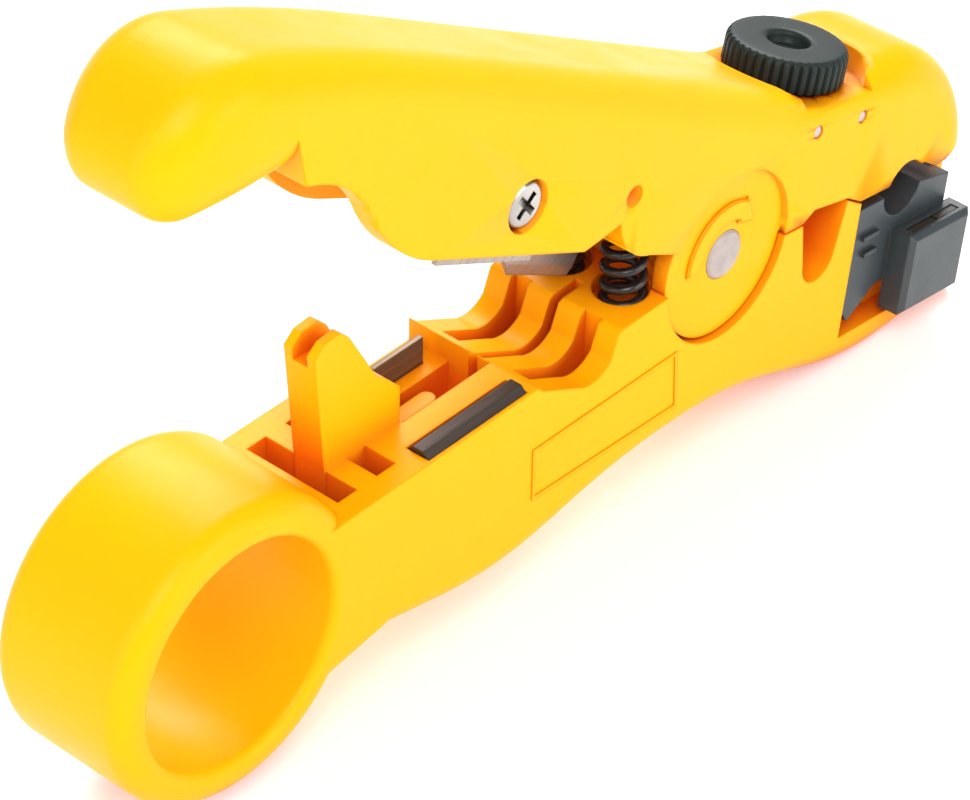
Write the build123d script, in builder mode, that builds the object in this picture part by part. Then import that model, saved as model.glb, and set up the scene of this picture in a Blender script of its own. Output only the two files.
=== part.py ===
"""Rotary cable stripper and cutter in the shape of sprung pliers.

Millimetres. The origin is the centre of the finger ring's bore, +X runs along the tool to the
jaws, +Y is the axis of the ring, of the hinge and of the cable, and +Z is up.
"""

import math
import os

from build123d import *

os.makedirs("parts", exist_ok=True)

# clearances
running_fit = 0.05
slide_gap = 0.15
body_gap = 0.35
seat_gap = 0.1
tiny = 0.01

# overall
body_width = 18.0
half_width = body_width / 2
deck_z = 8.3

# finger ring
ring_bore_radius = 13.0
ring_outer_radius = 17.1
ring_rim_round = 1.0
belly_round = 2.4
ring_wall = ring_outer_radius - ring_bore_radius

# belly of the lower body from the ring to the nose
neck_angle = -52.0
neck_run = 8.2
bump_rear = (29.5, -11.9)
bump_run = 4.0
belly_rear = (50.0, -11.8)
belly_front = (70.0, -11.05)
haunch_run = 8.6
haunch = (92.5, -17.4)
foot_z = -19.9
foot_start_x = 106.0
nose_x = 119.2
nose_round = 3.0

# hinge
hinge_x = 75.0
hinge_z = 8.2
pin_radius = 2.9
pin_proud = 0.3
disc_radius = 9.9
disc_recess = 0.8
cheek_thickness = 2.75
barrel_radius = 8.6
barrel_half = half_width - cheek_thickness - body_gap

# deck pockets behind and in front of the post
pocket_depth = 7.0
pocket_half_span = 6.3
long_pocket_x = 16.3
long_pocket_length = 2.8
small_pocket_x = 22.0
small_pocket_length = 2.8

# forked post
post_half_width = 2.1
post_rear_x = 18.8
post_height = 16.1
post_front_x = 30.0
post_shoulder_z = 12.9
post_fork_width = 2.0
post_fork_depth = 3.2
post_fork_rear = 3.0
post_fork_front = 10.0
post_fork_slope = 0.6

# corners of the post, from its rear foot along and from its top or its shoulder up
post_rear_brow = (-1.1, -1.4)
post_rear_tip = (0.3, -0.2)
post_front_tip = (2.6, 0.0)
post_front_brow = (3.8, -1.1)
post_neck = (7.8, 3.2)
post_neck_foot = (9.0, 2.2)

# blade bay between the post and the cradle
bay_end_x = 43.6
ledge_z = 5.5
ledge_inner_y = 3.4
bay_floor_z = 1.5
bay_near_y = -2.4
rib_width = 2.0
rib_near_y = 0.4
rib_length = 9.4
rib_top_z = 5.0

# cradle of four walls with a round cable bed
cradle_lead = 0.7
cradle_start = (44.4, 7.5)
cradle_dip = (50.2, 4.6)
cradle_bottom = (52.9, 3.9)
cradle_rise = (55.4, 5.1)
cradle_end = (56.6, 8.0)
cradle_slot_near = 3.7
cradle_slot_width = 2.4
cradle_slot_depth = 4.0
cradle_slot_lead = 1.2
cradle_slot_rise = 1.8
cradle_slot_end = 57.4
blade_slot_width = 1.2
blade_slot_end = 60.8
blade_slot_floor = 2.4
cut_over = 1.0

# return springs
spring_x = 62.75
spring_y = 4.0
spring_radius = 3.05
spring_wire = 0.95
spring_seat_depth = 1.8
spring_top_z = 18.6
spring_pocket_radius = spring_radius + body_gap

# gap behind the jaws and the line where lever and lower body part
window_start = (88.3, 5.2)
window_wall = (88.8, -0.6)
window_bottom = (91.4, -3.9)
window_rise = (94.5, -1.6)
window_end = (96.5, 4.4)
window_roof = (90.3, 6.4)
parting_rear_z = 5.7
stop_land_half = 2.4
jaw_wall_top_x = 99.0
jaw_wall_top_z = 2.6

# cable and the frame that leans with the jaws, its own axes (along, up) through the cable
cable_x = 107.6
cable_z = 0.4
cable_bore_radius = 3.5
nose_lean = 8.0

# cassette pocket in the nose, along and up from the cable
slot_rear = -8.6
slot_front = 9.6
slot_floor = -10.2
slot_top = 4.2
nose_wall_top = -0.2
nose_recess_floor = -16.8
nose_recess_front_floor = -16.2
nose_recess_depth = 2.9

# cassette, along and up from the cable
cassette_top_rear = -0.3
cassette_top_front = -0.5
cassette_front_drop = 0.8
cassette_near_inset = 0.3
plate_foot_rear = -13.4
plate_toe = (-7.0, -15.2)
plate_arch = (-2.4, -11.9)
grip_start = -0.8
grip_length = 11.4
grip_top = -5.1
grip_height = 10.4
grip_proud = 3.0
grip_round = 0.6
grip_pocket_inset = 1.1
grip_pocket_depth = 1.2
detent_start = -7.1
detent_length = 3.0
detent_top = -3.9
detent_height = 0.6
detent_proud = 0.6
detent_pitch = 2.3

# lever outline
lever_crown_point = (31.0, 53.9)
lever_bulb_top = (7.5, 65.4)
lever_bulb_end = (-6.9, 59.5)
lever_bulb_foot = (-2.5, 52.9)
lever_bulb_under = 12.1
lever_back_point = (88.0, 21.8)
head_top_point = (104.0, 18.4)
head_brow = (114.2, 14.4)
head_front = (119.8, 6.2)
head_chin = (118.9, 1.4)
arch_start = (9.9, 51.1)
arch_high = (15.2, 48.2)
arch_turn = (18.8, 43.0)
arch_low = (22.3, 37.3)
arch_end = (28.0, 33.1)
cheek_corner = (50.4, 22.1)
cheek_notch = (56.2, 22.5)
cheek_curve = (57.4, 18.7)
cheek_step = (61.2, 15.9)
cheek_foot = (66.5, 13.1)
lever_round = 4.6
roof_thickness = 3.2
channel_half = half_width - cheek_thickness
channel_rear_x = 16.0
channel_front_x = 57.8
channel_open_z = 10.0
channel_rear_rise = 1.0
channel_rear_slant = 3.0

# edges of the lever's back and bulb that are rounded lie above a falling line and above the head's foot
back_fall = 0.55
back_reach = 66.0
head_foot_z = 5.0
web_half = 1.6
web_start_x = 37.2

# jaw of the lever
jaw_start_z = 3.0
jaw_floor_z = 2.2
jaw_tip_z = 0.4
jaw_tip_x = 113.6
jaw_tip_end_x = 115.4

# depth knob on the head, its axis leaning towards the jaws
knob_tilt = 14.0
knob_top_x = 95.56
knob_top_z = 22.34
knob_radius = 6.9
knob_height = 3.9
knob_hole_radius = 2.55
knob_hole_depth = 2.0
knob_bevel = 0.5
knob_rim_radius = 3.6
knob_rim_depth = 0.5
knurl_count = 40
knurl_width = 0.5
knurl_depth = 0.35
knob_recess_radius = knob_radius + 2.3
knob_recess_side = 6.0
knob_floor_gap = 0.25
hub_radius = 4.6
hub_length = 5.0
groove_radius = 3.3
knob_pin_radius = 0.8
knob_pin_depth = 2.5
knob_pin_offset = groove_radius + knob_pin_radius + seat_gap
groove_width = 2 * knob_pin_radius + 2 * seat_gap
knob_pin_inset = 0.6
pin_bevel = 0.3

# adjusting screw and depth stop under the knob
screw_radius = 1.5
screw_engagement = 3.8
screw_pitch = 0.7
stop_turns = 2
stop_width = 5.0
stop_length = 5.8
stop_tip_radius = 1.6
stop_tip_length = 1.4
stop_top_gap = 0.4

# cutting blade in the lever's web and its clamp screw
blade_thickness = 0.6
blade_points = [(48.6, 15.7), (58.4, 10.3), (60.2, 12.9), (57.0, 24.0), (46.5, 35.0), (38.6, 37.0),
                (37.6, 30.6), (46.6, 22.4)]
blade_ground_width = 1.3
clamp_x = 41.3
clamp_z = 32.5
clamp_head_radius = 2.75
clamp_head_height = 1.7
clamp_shank_radius = 1.5
clamp_recess_radius = 3.0
clamp_recess_depth = 1.9
cross_width = 0.8
cross_length = 3.2
cross_depth = 0.9
cross_turn = 38.0
clamp_head_round = 0.8
nut_across = 5.5
nut_height = 2.0
vent_x = 58.2
vent_z = 24.9
vent_radius = 1.3
vent_depth = 1.4

# strip blade under the near cheek
strip_start = (29.6, 32.3)
strip_end = (43.8, 25.3)
strip_height = 3.0
strip_proud = 0.6
strip_thickness = 0.6
strip_y = -7.4

# flat blade and bar in the lower body
flat_blade_x = 34.0
flat_blade_length = 7.6
flat_blade_y = 5.5
flat_blade_top_z = 8.9
flat_blade_bottom_z = 3.0
flat_blade_thickness = 0.6
flat_blade_corner = 1.8
bar_x = 27.4
bar_length = 15.0
bar_y = -7.0
bar_width = 2.9
bar_proud = 0.6
bar_depth = 2.6
bar_bevel = 0.75

# stripping blade in the jaw
strip_knife_length = 11.0
strip_knife_top_z = 9.4
strip_knife_edge_z = 3.2
strip_knife_thickness = 0.5

knob_lean = math.radians(knob_tilt)
knob_up = Vector(math.sin(knob_lean), 0, math.cos(knob_lean))
knob_across = Vector(math.cos(knob_lean), 0, -math.sin(knob_lean))
knob_top = Vector(knob_top_x, 0, knob_top_z)


def side_plane(y):
    """Plane parallel to the tool's sides at the given y, extruding towards -Y."""
    return Plane.XZ.offset(-y)


def knob_plane(depth):
    """Plane across the knob's axis, the given depth below the knob's top."""
    return Plane(origin=knob_top - knob_up * depth, x_dir=knob_across, z_dir=knob_up)


def nose_plane(y):
    """Side plane at the given y with its origin on the cable's axis, leaning with the jaws."""
    lean = math.radians(nose_lean)
    return Plane(origin=(cable_x, y, cable_z), x_dir=(math.cos(lean), 0, -math.sin(lean)), z_dir=(0, -1, 0))


def knob_xz(across, depth):
    """(x, z) of a point beside the knob's axis, at a depth below the knob's top."""
    place = knob_top + knob_across * across - knob_up * depth
    return (place.X, place.Z)


knob_floor_depth = knob_height + knob_floor_gap
hub_end_depth = knob_floor_depth + hub_length
stop_travel = screw_pitch * stop_turns
stop_start = hub_end_depth + stop_top_gap + stop_travel
stop_end_depth = stop_start + stop_length + stop_tip_length
hinge_centre = (hinge_x, hinge_z)
disc_gap_radius = disc_radius + body_gap


# lower body: ring, deck, cradle, hinge barrel and nose in one moulding
with BuildPart() as lower_body:
    with BuildSketch(side_plane(half_width)) as frame_side:
        with BuildLine() as frame_line:
            deck_start_x = math.sqrt(ring_outer_radius**2 - deck_z**2)
            neck_radius = ring_outer_radius - ring_wall / 2
            neck_foot = (neck_radius * math.cos(math.radians(neck_angle)),
                         neck_radius * math.sin(math.radians(neck_angle)))
            Polyline(neck_foot, (0, 0), (0, deck_z), (cradle_start[0] - cradle_lead, deck_z), cradle_start)
            Line(cradle_start, cradle_dip)
            ThreePointArc(cradle_dip, cradle_bottom, cradle_rise)
            Polyline(cradle_rise, cradle_end, (cradle_end[0] + cradle_lead, deck_z), (hinge_x, deck_z))
            Line((hinge_x, deck_z), (hinge_x, parting_rear_z))
            Line((hinge_x, parting_rear_z), (hinge_x + disc_radius, parting_rear_z))
            Line((hinge_x + disc_radius, parting_rear_z), window_start)
            Line(window_start, window_wall)
            ThreePointArc(window_wall, window_bottom, window_rise)
            Line(window_rise, window_end)
            Polyline(window_end, (jaw_wall_top_x, jaw_wall_top_z), (nose_x, jaw_wall_top_z), (nose_x, foot_z),
                     (foot_start_x, foot_z))
            haunch_arc = TangentArc((foot_start_x, foot_z), haunch, tangent=(-1, 0))
            haunch_line = Line(haunch_arc @ 1, haunch_arc @ 1 + (haunch_arc % 1) * haunch_run)
            front_arc = TangentArc(haunch_line @ 1, belly_front, tangent=haunch_line % 1)
            rear_arc = TangentArc(belly_front, belly_rear, tangent=front_arc % 1)
            bump_line = Line(rear_arc @ 1, rear_arc @ 1 + (rear_arc % 1) * bump_run)
            bump_arc = TangentArc(bump_line @ 1, bump_rear, tangent=bump_line % 1)
            neck_line = Line(bump_arc @ 1, bump_arc @ 1 + (bump_arc % 1) * neck_run)
            Line(neck_line @ 1, neck_foot)
        make_face()
        with Locations((0, 0)):
            Circle(ring_outer_radius)
        fillet(frame_side.vertices().sort_by_distance((nose_x, 0, foot_z))[0], nose_round)
    extrude(amount=body_width)
    rim_edges = (lower_body.edges().filter_by(lambda e: abs(abs(e.center().Y) - half_width) < 0.01)
                 .filter_by(lambda e: e.center().Z < -4 and e.center().X < nose_x - 0.1
                            or e.center().X < deck_start_x - 1))
    fillet(rim_edges, min(belly_round, ring_wall * 0.7))

    # bore of the ring
    with BuildSketch(side_plane(half_width)):
        Circle(ring_bore_radius)
    extrude(amount=body_width, mode=Mode.SUBTRACT)
    bore_edges = (lower_body.edges().filter_by(GeomType.CIRCLE)
                  .filter_by(lambda e: abs(e.radius - ring_bore_radius) < 0.01))
    fillet(bore_edges, min(ring_rim_round, ring_wall * 0.25))

    # core-outs in the deck
    with BuildSketch(Plane.XY.offset(deck_z)):
        with Locations((long_pocket_x + long_pocket_length / 2, 0)):
            Rectangle(long_pocket_length, 2 * pocket_half_span)
        pocket_width = pocket_half_span - post_half_width
        for side in (-1, 1):
            with Locations((small_pocket_x + small_pocket_length / 2,
                            side * (post_half_width + pocket_width / 2))):
                Rectangle(small_pocket_length, pocket_width)
    extrude(amount=-pocket_depth, mode=Mode.SUBTRACT)

    # blade bay: a ledge on the far side and a pit with a rib
    with BuildSketch(Plane.XY.offset(deck_z + 1)):
        with Locations(((post_front_x + bay_end_x) / 2, (ledge_inner_y + half_width + 1) / 2)):
            Rectangle(bay_end_x - post_front_x, half_width + 1 - ledge_inner_y)
    extrude(amount=-(deck_z + 1 - ledge_z), mode=Mode.SUBTRACT)
    with BuildSketch(Plane.XY.offset(deck_z + 1)):
        with Locations(((post_front_x + bay_end_x) / 2, (bay_near_y + ledge_inner_y) / 2)):
            Rectangle(bay_end_x - post_front_x, ledge_inner_y - bay_near_y)
    extrude(amount=-(deck_z + 1 - bay_floor_z), mode=Mode.SUBTRACT)
    with BuildSketch(Plane.XY.offset(bay_floor_z - 0.5)):
        with Locations((post_front_x + rib_length / 2 - rib_width / 2, rib_near_y + rib_width / 2)):
            Rectangle(rib_length - rib_width + 1, rib_width)
        with Locations((post_front_x + rib_length - rib_width / 2 - 0.5, rib_near_y + rib_width / 2)):
            Circle(rib_width / 2)
    extrude(amount=rib_top_z - bay_floor_z + 0.5)

    # slots that part the cradle into four walls
    for slot_y in (-cradle_slot_near - cradle_slot_width, cradle_slot_near):
        with BuildSketch(side_plane(slot_y + cradle_slot_width)):
            with BuildLine():
                low_z = cradle_bottom[1] - cradle_slot_depth
                slot_start_x = cradle_start[0] + cradle_slot_lead
                Polyline((slot_start_x, deck_z + cut_over), (slot_start_x, low_z + cradle_slot_rise),
                         (cradle_dip[0], low_z), (cradle_rise[0], low_z),
                         (cradle_slot_end, low_z + cradle_slot_rise), (cradle_slot_end, deck_z + cut_over),
                         close=True)
            make_face()
        extrude(amount=cradle_slot_width, mode=Mode.SUBTRACT)
    with BuildSketch(Plane.XY.offset(deck_z + cut_over)):
        with Locations(((bay_end_x - cut_over + blade_slot_end) / 2, 0)):
            Rectangle(blade_slot_end - bay_end_x + cut_over, blade_slot_width)
    extrude(amount=-(deck_z + cut_over - blade_slot_floor), mode=Mode.SUBTRACT)

    # hinge: a barrel between the lever's cheeks and round seats for its discs
    with BuildSketch(side_plane(barrel_half)):
        with Locations(hinge_centre):
            Circle(barrel_radius)
    extrude(amount=2 * barrel_half)
    for disc_y in (half_width + cut_over, -barrel_half):
        with BuildSketch(side_plane(disc_y)):
            with Locations(hinge_centre):
                Circle(disc_gap_radius)
        extrude(amount=half_width + cut_over - barrel_half, mode=Mode.SUBTRACT)
    with BuildSketch(side_plane(half_width)):
        with Locations(hinge_centre):
            Circle(pin_radius + running_fit)
    extrude(amount=body_width, mode=Mode.SUBTRACT)

    # spring seats
    with BuildSketch(Plane.XY.offset(deck_z + cut_over)):
        with Locations((spring_x, -spring_y), (spring_x, spring_y)):
            Circle(spring_radius + seat_gap)
    extrude(amount=-(cut_over + spring_seat_depth), mode=Mode.SUBTRACT)

    # nose: a slot across it for the cassette, open at the top and both sides
    slot_past = nose_x - cable_x + cut_over
    with BuildSketch(nose_plane(half_width)):
        with BuildLine():
            Polyline((slot_rear, slot_top), (slot_rear, slot_floor), (slot_front, slot_floor),
                     (slot_front, nose_wall_top), (slot_past, nose_wall_top),
                     (slot_past, slot_top), close=True)
        make_face()
    extrude(amount=body_width, mode=Mode.SUBTRACT)
    with BuildSketch(nose_plane(-half_width + nose_recess_depth)):
        with BuildLine():
            recess_past = slot_past + nose_recess_depth
            Polyline((slot_rear, slot_top), (slot_rear, nose_recess_floor),
                     (recess_past, nose_recess_front_floor), (recess_past, slot_top), close=True)
        make_face()
    extrude(amount=nose_recess_depth + cut_over, mode=Mode.SUBTRACT)

    # land in the gap behind the jaws, under the depth stop
    land_depth = stop_end_depth + body_gap
    with BuildSketch(side_plane(stop_land_half)):
        with BuildLine():
            Polyline(knob_xz(-stop_land_half, land_depth), knob_xz(stop_land_half, land_depth),
                     (window_rise[0], window_bottom[1] + cut_over),
                     (window_rise[0], window_bottom[1] - cut_over),
                     (window_start[0] - cut_over, window_bottom[1] - cut_over), close=True)
        make_face()
    extrude(amount=2 * stop_land_half)

    # forked post
    post_top_z = deck_z + post_height
    with BuildSketch(side_plane(post_half_width)):
        with BuildLine():
            Polyline((post_rear_x, deck_z - pocket_depth), (post_rear_x, deck_z),
                     (post_rear_x + post_rear_brow[0], post_top_z + post_rear_brow[1]),
                     (post_rear_x + post_rear_tip[0], post_top_z + post_rear_tip[1]),
                     (post_rear_x + post_front_tip[0], post_top_z + post_front_tip[1]),
                     (post_rear_x + post_front_brow[0], post_top_z + post_front_brow[1]),
                     (post_rear_x + post_neck[0], post_shoulder_z + post_neck[1]),
                     (post_rear_x + post_neck_foot[0], post_shoulder_z + post_neck_foot[1]),
                     (post_front_x, post_shoulder_z), (post_front_x, deck_z - pocket_depth), close=True)
        make_face()
    extrude(amount=2 * post_half_width)
    with BuildSketch(side_plane(post_fork_width / 2)):
        with BuildLine():
            fork_floor_z = post_top_z - post_fork_depth
            Polyline((post_rear_x - post_fork_rear, post_top_z + cut_over),
                     (post_rear_x - post_fork_rear, fork_floor_z + post_fork_slope),
                     (post_rear_x + post_fork_front, fork_floor_z - post_fork_slope),
                     (post_rear_x + post_fork_front, post_top_z + cut_over), close=True)
        make_face()
    extrude(amount=post_fork_width, mode=Mode.SUBTRACT)

    # seats of the bar and of the flat blade
    with BuildSketch(Plane.XY.offset(deck_z + cut_over)):
        with Locations((bar_x + bar_length / 2, bar_y)):
            Rectangle(bar_length + 2 * seat_gap, bar_width + 2 * seat_gap)
    extrude(amount=-(cut_over + bar_depth), mode=Mode.SUBTRACT)
    with BuildSketch(Plane.XY.offset(deck_z)):
        with Locations((flat_blade_x + flat_blade_length / 2, flat_blade_y)):
            Rectangle(flat_blade_length + 2 * seat_gap, flat_blade_thickness + 2 * running_fit)
    extrude(amount=-(deck_z - flat_blade_bottom_z), mode=Mode.SUBTRACT)
lower_body.part.label = "lower_body"


# lever: handle, hollow back, discs at the hinge, and head with the upper jaw
with BuildPart() as upper_lever:
    with BuildSketch(side_plane(half_width)) as lever_side:
        with BuildLine():
            back_slope = (lever_back_point[1] - lever_crown_point[1]) / (lever_back_point[0]
                                                                         - lever_crown_point[0])
            back_line = Line(lever_back_point, lever_crown_point)
            crown_arc = TangentArc(lever_crown_point, lever_bulb_top, tangent=back_line % 1)
            end_arc = TangentArc(lever_bulb_top, lever_bulb_end, tangent=crown_arc % 1)
            foot_arc = TangentArc(lever_bulb_end, lever_bulb_foot, tangent=end_arc % 1)
            under_line = Line(foot_arc @ 1, foot_arc @ 1 + (foot_arc % 1) * lever_bulb_under)
            Line(lever_back_point, head_top_point)
            ThreePointArc(head_top_point, head_brow, head_front)
            Polyline(head_front, head_chin, (jaw_tip_end_x, jaw_tip_z), (jaw_tip_x, jaw_tip_z),
                     (cable_x + cable_bore_radius, jaw_floor_z), (cable_x - cable_bore_radius, jaw_floor_z),
                     (jaw_wall_top_x, jaw_start_z), (window_end[0], window_end[1] + body_gap),
                     window_roof, (window_start[0], window_start[1] + body_gap),
                     (hinge_x + disc_radius, parting_rear_z + body_gap),
                     hinge_centre)
            Line(hinge_centre, cheek_foot)
            Line(cheek_foot, cheek_step)
            ThreePointArc(cheek_step, cheek_curve, cheek_notch)
            Polyline(cheek_notch, cheek_corner, arch_end)
            ThreePointArc(arch_end, arch_low, arch_turn)
            ThreePointArc(arch_turn, arch_high, arch_start)
            Line(arch_start, under_line @ 1)
        make_face()
    extrude(amount=body_width)
    side_edges = upper_lever.edges().filter_by(lambda e: abs(abs(e.center().Y) - half_width) < tiny)
    top_edges = side_edges.filter_by(lambda e: e.center().X * back_fall + e.center().Z > back_reach
                                     and e.center().Z > head_foot_z or e.center().X < lever_bulb_top[0])
    fillet(top_edges, lever_round)

    # round seat for the barrel and discs in the cheeks
    with BuildSketch(side_plane(channel_half)):
        with Locations(hinge_centre):
            Circle(barrel_radius + body_gap)
    extrude(amount=2 * channel_half, mode=Mode.SUBTRACT)
    disc_outer = half_width - disc_recess
    for disc_y in (half_width, -disc_outer):
        with BuildSketch(side_plane(disc_y)):
            with Locations(hinge_centre):
                Circle(disc_gap_radius)
        extrude(amount=disc_recess, mode=Mode.SUBTRACT)
    for disc_y in (disc_outer, -channel_half):
        with BuildSketch(side_plane(disc_y)):
            with Locations(hinge_centre):
                Circle(disc_radius)
        extrude(amount=disc_outer - channel_half)

    # hollow under the back, with a web down the middle
    with BuildSketch(side_plane(channel_half)):
        with BuildLine():
            channel_front_roof = lever_crown_point[1] + back_slope * (channel_front_x
                                                                      - lever_crown_point[0])
            Polyline((channel_rear_x, channel_open_z),
                     (channel_rear_x, lever_crown_point[1] + channel_rear_rise),
                     (channel_rear_x + channel_rear_slant, lever_crown_point[1] + channel_rear_slant),
                     (lever_crown_point[0], lever_crown_point[1] - roof_thickness),
                     (channel_front_x, channel_front_roof - roof_thickness),
                     (channel_front_x, channel_open_z), close=True)
        make_face()
    extrude(amount=2 * channel_half, mode=Mode.SUBTRACT)
    with BuildSketch(side_plane(web_half)):
        with BuildLine():
            under_slope = (cheek_corner[1] - arch_end[1]) / (cheek_corner[0] - arch_end[0])
            web_start_roof = lever_crown_point[1] + back_slope * (web_start_x - lever_crown_point[0])
            Polyline((web_start_x, web_start_roof - 1), (channel_front_x + 1, channel_front_roof - 1),
                     (channel_front_x + 1, cheek_notch[1]), cheek_corner,
                     (web_start_x, cheek_corner[1] + under_slope * (web_start_x - cheek_corner[0])),
                     close=True)
        make_face()
    extrude(amount=2 * web_half)

    # pockets for the springs
    with BuildSketch(Plane.XY.offset(deck_z)):
        with Locations((spring_x, -spring_y), (spring_x, spring_y)):
            Circle(spring_pocket_radius)
    extrude(amount=spring_top_z + seat_gap - deck_z, mode=Mode.SUBTRACT)

    # bore for the pin
    with BuildSketch(side_plane(half_width)):
        with Locations(hinge_centre):
            Circle(pin_radius + running_fit)
    extrude(amount=body_width, mode=Mode.SUBTRACT)

    # recess for the knob, open to both sides
    with BuildSketch(knob_plane(knob_floor_depth)):
        Circle(knob_recess_radius)
        Rectangle(2 * knob_recess_side, body_width + 4)
    extrude(amount=knob_floor_depth + knob_height, mode=Mode.SUBTRACT)

    # bore for the knob's hub, shaft for the depth stop, holes for the two pins
    with BuildSketch(knob_plane(knob_floor_depth)):
        Circle(hub_radius + slide_gap)
    extrude(amount=-(hub_length + slide_gap), mode=Mode.SUBTRACT)
    with BuildSketch(knob_plane(knob_floor_depth)):
        Rectangle(stop_width + 2 * slide_gap, stop_width + 2 * slide_gap)
    extrude(amount=-(stop_start + stop_length), mode=Mode.SUBTRACT)
    with BuildSketch(side_plane(half_width)):
        with Locations(knob_xz(-knob_pin_offset, knob_floor_depth + knob_pin_depth),
                       knob_xz(knob_pin_offset, knob_floor_depth + knob_pin_depth)):
            Circle(knob_pin_radius)
    extrude(amount=body_width, mode=Mode.SUBTRACT)

    # cable notch and slot for the stripping blade
    with BuildSketch(side_plane(half_width)):
        with Locations((cable_x, cable_z)):
            Circle(cable_bore_radius)
    extrude(amount=body_width, mode=Mode.SUBTRACT)
    with BuildSketch(side_plane(strip_knife_thickness / 2 + running_fit)):
        with Locations((cable_x, (strip_knife_top_z + jaw_tip_z) / 2)):
            Rectangle(strip_knife_length + 2 * seat_gap, strip_knife_top_z - jaw_tip_z + 2 * seat_gap)
    extrude(amount=strip_knife_thickness + 2 * running_fit, mode=Mode.SUBTRACT)

    # slot and screw bore for the cutting blade
    with BuildSketch(side_plane(blade_thickness / 2 + running_fit)):
        with BuildLine():
            Polyline(*blade_points, close=True)
        make_face()
        offset(amount=seat_gap, kind=Kind.INTERSECTION)
    extrude(amount=blade_thickness + 2 * running_fit, mode=Mode.SUBTRACT)
    with BuildSketch(side_plane(half_width)):
        with Locations((clamp_x, clamp_z)):
            Circle(clamp_shank_radius + running_fit)
    extrude(amount=body_width, mode=Mode.SUBTRACT)
    with BuildSketch(side_plane(-half_width + clamp_recess_depth)):
        with Locations((clamp_x, clamp_z)):
            Circle(clamp_recess_radius)
    extrude(amount=clamp_recess_depth, mode=Mode.SUBTRACT)
    with BuildSketch(side_plane(half_width)):
        with Locations((clamp_x, clamp_z)):
            RegularPolygon((nut_across + 2 * seat_gap) / 2, 6, major_radius=False)
    extrude(amount=nut_height, mode=Mode.SUBTRACT)
    for vent_y in (half_width, -half_width + vent_depth):
        with BuildSketch(side_plane(vent_y)):
            with Locations((vent_x, vent_z)):
                Circle(vent_radius)
        extrude(amount=vent_depth, mode=Mode.SUBTRACT)

    # groove for the strip blade in the near cheek
    strip_angle = math.degrees(math.atan2(strip_end[1] - strip_start[1], strip_end[0] - strip_start[0]))
    strip_length = math.hypot(strip_end[0] - strip_start[0], strip_end[1] - strip_start[1])
    strip_middle = ((strip_start[0] + strip_end[0]) / 2, (strip_start[1] + strip_end[1]) / 2)
    with BuildSketch(side_plane(strip_y + strip_thickness / 2 + running_fit)):
        with Locations(Location(strip_middle, strip_angle)):
            Rectangle(strip_length + 2 * seat_gap, 2 * (strip_height - strip_proud))
    extrude(amount=strip_thickness + 2 * running_fit, mode=Mode.SUBTRACT)
upper_lever.part.label = "upper_lever"


# hinge pin through barrel and discs
with BuildPart() as hinge_pin:
    with BuildSketch(side_plane(half_width - disc_recess + pin_proud)):
        with Locations(hinge_centre):
            Circle(pin_radius)
    extrude(amount=body_width - 2 * (disc_recess - pin_proud))
    chamfer(hinge_pin.edges().filter_by(GeomType.CIRCLE), pin_bevel)
hinge_pin.part.label = "hinge_pin"


# return springs as plain sleeves of the coils' size
spring_foot_z = deck_z - spring_seat_depth
spring_nodes = []
for spring_name, spring_side in (("spring_near", -1), ("spring_far", 1)):
    with BuildPart() as coil:
        with BuildSketch(Plane.XY.offset(spring_foot_z)):
            with Locations((spring_x, spring_side * spring_y)):
                Circle(spring_radius)
                Circle(spring_radius - spring_wire, mode=Mode.SUBTRACT)
        extrude(amount=spring_top_z - spring_foot_z)
    coil.part.label = spring_name
    spring_nodes.append(coil.part)


# cutting blade with a ground edge
with BuildPart() as cutting_blade:
    with BuildSketch(side_plane(blade_thickness / 2)):
        with BuildLine():
            Polyline(*blade_points, close=True)
        make_face()
        with Locations((clamp_x, clamp_z)):
            Circle(clamp_shank_radius + seat_gap, mode=Mode.SUBTRACT)
    extrude(amount=blade_thickness)
    edge_middle = ((blade_points[0][0] + blade_points[1][0]) / 2, 0,
                   (blade_points[0][1] + blade_points[1][1]) / 2)
    ground_face = cutting_blade.faces().sort_by_distance(edge_middle)[0]
    ground_edges = ground_face.edges().filter_by(lambda e: e.length > blade_ground_width)
    chamfer(ground_edges, blade_thickness / 2 - 0.02, blade_ground_width, reference=ground_face)
cutting_blade.part.label = "cutting_blade"


# clamp screw with a cross recess and its nut
with BuildPart() as blade_screw:
    head_base_y = -half_width + clamp_recess_depth
    with BuildSketch(side_plane(head_base_y)):
        with Locations((clamp_x, clamp_z)):
            Circle(clamp_head_radius)
    extrude(amount=clamp_head_height)
    fillet(blade_screw.edges().sort_by(Axis.Y)[0], clamp_head_round)
    with BuildSketch(side_plane(head_base_y - clamp_head_height + cross_depth)):
        with Locations(Location((clamp_x, clamp_z), cross_turn)):
            Rectangle(cross_length, cross_width)
            Rectangle(cross_width, cross_length)
    extrude(amount=cross_depth, mode=Mode.SUBTRACT)
    with BuildSketch(side_plane(half_width - seat_gap)):
        with Locations((clamp_x, clamp_z)):
            Circle(clamp_shank_radius)
    extrude(amount=half_width - seat_gap - head_base_y)
blade_screw.part.label = "blade_screw"

with BuildPart() as blade_nut:
    with BuildSketch(side_plane(half_width - seat_gap)):
        with Locations((clamp_x, clamp_z)):
            RegularPolygon(nut_across / 2, 6, major_radius=False)
            Circle(clamp_shank_radius, mode=Mode.SUBTRACT)
    extrude(amount=nut_height - seat_gap)
blade_nut.part.label = "blade_nut"


# strip blade in the near cheek
with BuildPart() as strip_blade:
    with BuildSketch(side_plane(strip_y + strip_thickness / 2)):
        with Locations(Location(strip_middle, strip_angle)):
            with Locations((0, strip_height / 2 - strip_proud - 0.6)):
                Rectangle(strip_length, strip_height)
    extrude(amount=strip_thickness)
strip_blade.part.label = "strip_blade"


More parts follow.
